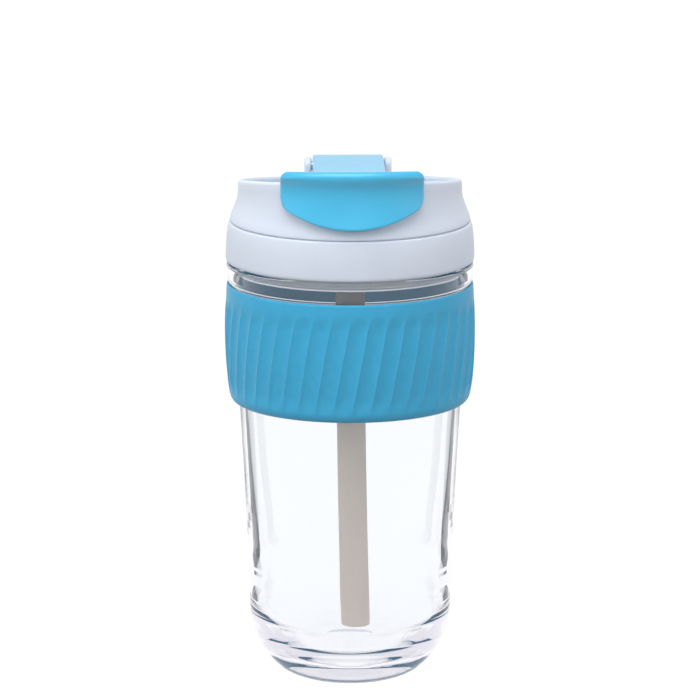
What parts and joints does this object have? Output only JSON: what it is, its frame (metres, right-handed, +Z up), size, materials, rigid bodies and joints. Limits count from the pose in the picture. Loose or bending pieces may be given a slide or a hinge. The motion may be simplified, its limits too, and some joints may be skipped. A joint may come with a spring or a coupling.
{
  "type": "glass tumbler with straw lid",
  "caption": "Tapered clear glass tumbler with a heavy base, a ribbed silicone grip sleeve, a push-in lid with a hinged flip cap, and a straw.",
  "frame": {"origin": "centre of the base on the tumbler's axis, at the surface it stands on", "axes": "+Z up along the tumbler's axis, -Y towards the flip cap's front tab, +Y towards the hinge, +X to the right seen from the front"},
  "size_m": [0.0866, 0.0873, 0.1852],
  "materials": {
    "clear_glass": "clear polished soda-lime glass",
    "sleeve_silicone": "matt moulded silicone, sky blue",
    "lid_plastic": "fine satin moulded polypropylene, white",
    "seal_silicone": "translucent gray silicone",
    "nozzle_silicone": "soft translucent white silicone",
    "straw_plastic": "smooth gray-beige plastic",
    "cap_plastic": "satin moulded plastic, bright sky blue",
    "pin_steel": "ground stainless pin"
  },
  "bodies": {
    "cup": {"glass_tumbler": "clear_glass", "grip_sleeve": "sleeve_silicone"},
    "gasket": {"seal_ring": "seal_silicone"},
    "lid": {"lid_collar": "lid_plastic", "lid_shell": "lid_plastic", "shell_o_ring": "seal_silicone", "straw_nozzle": "nozzle_silicone", "straw": "straw_plastic", "vent_valve": "nozzle_silicone", "hinge_pin": "pin_steel"},
    "cap": {"flip_cap": "cap_plastic", "nozzle_seal": "nozzle_silicone", "vent_pad": "nozzle_silicone"}
  },
  "joints": [
    {"name": "lid_lift", "type": "slide", "parent": "cup", "child": "gasket", "axis": [0, 0, 1], "range_m": [0, 0.145]},
    {"name": "lid_turn", "type": "hinge", "parent": "gasket", "child": "lid", "pos_m": [0, 0, 0.15], "axis": [0, 0, 1], "continuous": true},
    {"name": "cap_hinge", "type": "hinge", "parent": "lid", "child": "cap", "pos_m": [0, 0.034, 0.1745], "axis": [-1, 0, 0], "range_deg": [0, 150]}
  ]
}
